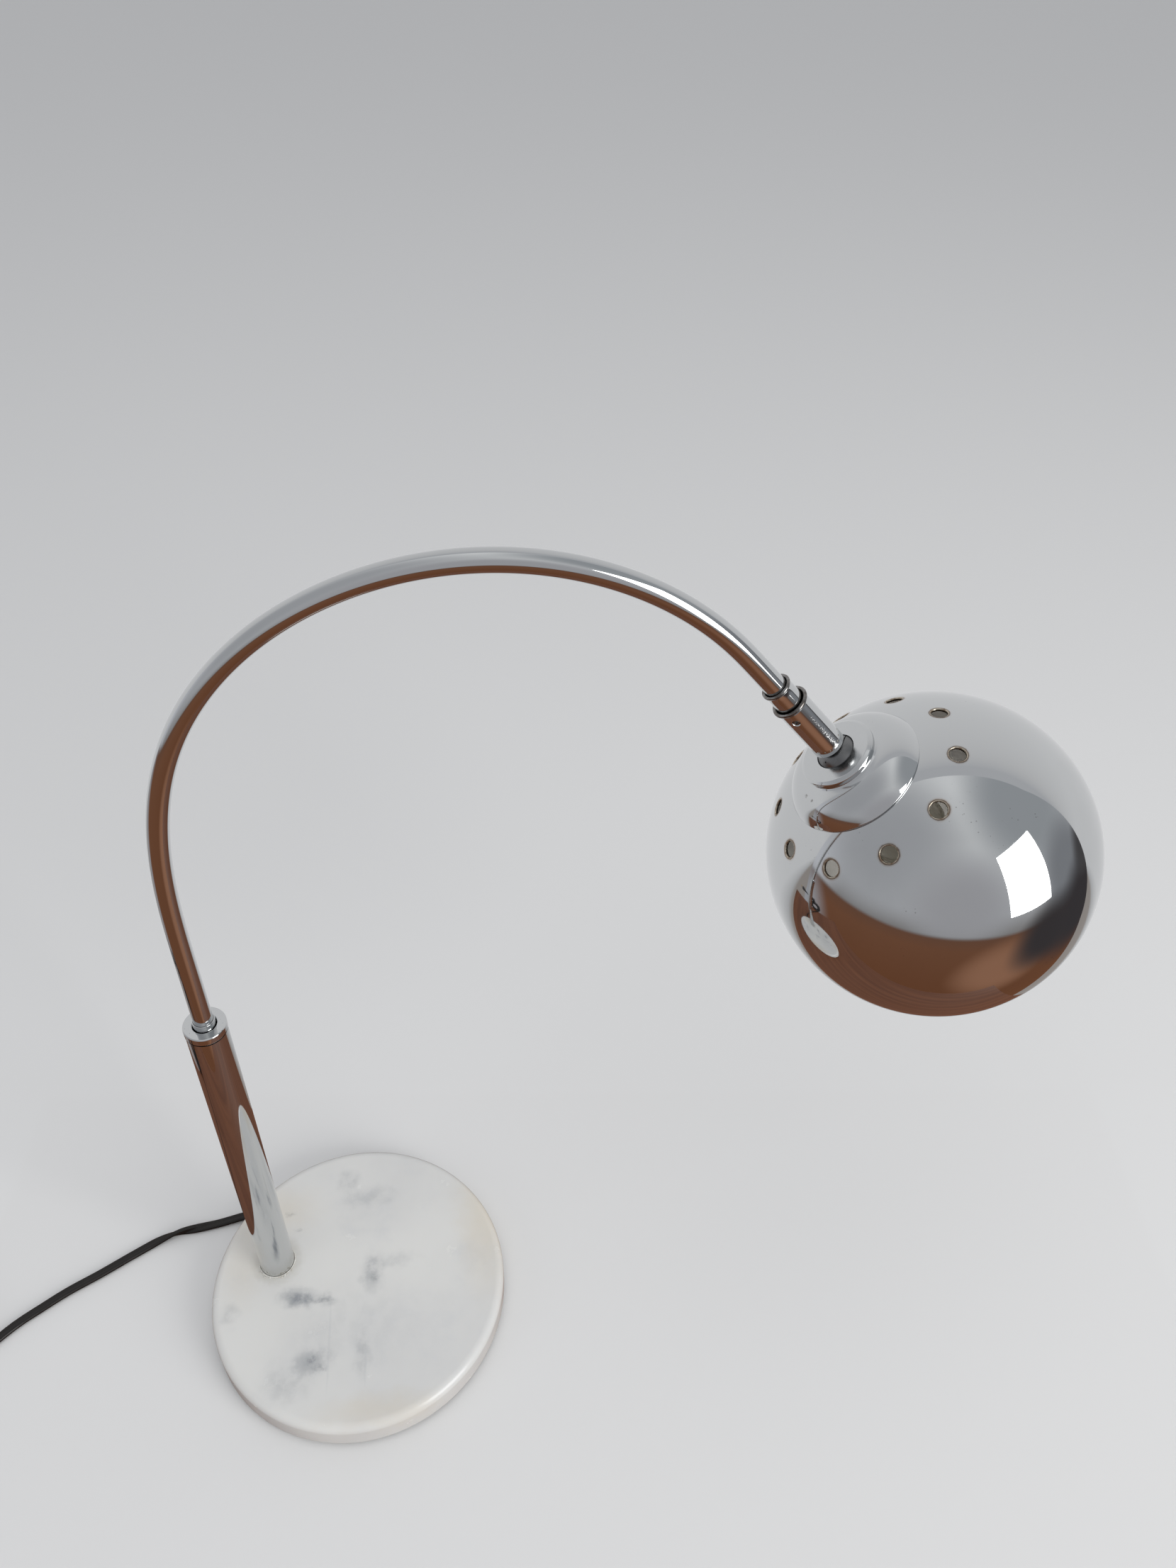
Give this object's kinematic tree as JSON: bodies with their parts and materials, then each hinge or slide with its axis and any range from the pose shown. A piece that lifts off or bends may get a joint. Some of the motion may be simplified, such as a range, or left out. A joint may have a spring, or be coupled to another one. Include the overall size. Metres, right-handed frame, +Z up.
{
  "type": "arc table lamp",
  "caption": "Table lamp with a round marble base, an upright stem, a turning arc arm and a ball-jointed chrome sphere shade with vents; flat cord with rocker switch and plug.",
  "frame": {"origin": "centre of the round base's underside, on the table", "axes": "+Z up; +X along the arm, from the stem towards the shade; +Y to the left of that, on the side where the cord leaves the base"},
  "size_m": [0.7347, 0.2433, 0.5215],
  "materials": {
    "chrome": "polished",
    "dull_steel": "satin",
    "steel": "satin",
    "brass": "satin",
    "marble": "satin",
    "felt": "matte",
    "nylon": "satin",
    "flex": "satin",
    "ivory_plastic": "gloss",
    "black_plastic": "gloss",
    "ceramic": "satin",
    "frosted_glass": "satin"
  },
  "bodies": {
    "base": {"stem_tube": "chrome", "stem_cap": "chrome", "clamp_washer": "steel", "stem_plug": "steel", "rocker_axle": "steel", "switch_screw_front": "steel", "switch_screw_rear": "steel", "clamp_nut": "brass", "foot_nipple": "brass", "plug_pin_left": "brass", "plug_pin_right": "brass", "switch_terminal_in": "brass", "switch_terminal_out": "brass", "marble_base": "marble", "base_felt": "felt", "lower_bush": "nylon", "thrust_washer": "nylon", "upper_bush": "nylon", "stem_flex": "flex", "cord_relief": "flex", "cord_lead": "flex", "cord_coil": "flex", "cord_tail": "flex", "cord_plug_lead": "flex", "plug_boot": "flex", "coil_tie": "black_plastic", "switch_base": "black_plastic", "switch_cover": "black_plastic", "plug_body": "black_plastic"},
    "arm": {"arm_tube": "chrome", "arm_collar": "chrome", "stop_collar": "steel", "collar_screw": "steel", "small_sleeve": "chrome", "large_sleeve": "chrome", "grub_screw": "steel", "arm_flex": "flex"},
    "swivel": {"swivel_ball": "dull_steel"},
    "head": {"shade_cap": "chrome", "joint_housing": "steel", "ball_seat": "nylon", "seat_spring": "steel", "ring_nut": "steel", "shade_shell": "chrome", "holder_nipple": "brass", "holder_dome": "ivory_plastic", "holder_body": "ivory_plastic", "holder_insert": "ceramic", "centre_contact": "brass", "thread_sleeve": "brass", "head_leads": "flex", "bulb_contact": "brass", "bulb_cap": "steel", "bulb_glass": "frosted_glass", "bulb_stem": "frosted_glass", "bulb_filament": "steel"},
    "rocker": {"switch_rocker": "black_plastic"}
  },
  "joints": [
    {"name": "arm_swivel", "type": "hinge", "parent": "base", "child": "arm", "pos_m": [-0.0515, 0.01624, 0.211], "axis": [0, 0, 1], "range_deg": [-160, 160]},
    {"name": "head_turn", "type": "hinge", "parent": "arm", "child": "swivel", "pos_m": [0.24895, 0.01624, 0.41132], "axis": [0.6494, 0, -0.7604], "range_deg": [-165, 165]},
    {"name": "head_tilt", "type": "hinge", "parent": "swivel", "child": "head", "pos_m": [0.24895, 0.01624, 0.41132], "axis": [0, 1, 0], "range_deg": [-28, 28]},
    {"name": "switch_rocker", "type": "hinge", "parent": "base", "child": "rocker", "pos_m": [-0.338, 0.031, 0.0114], "axis": [1, 0, 0], "range_deg": [0, 14]}
  ]
}
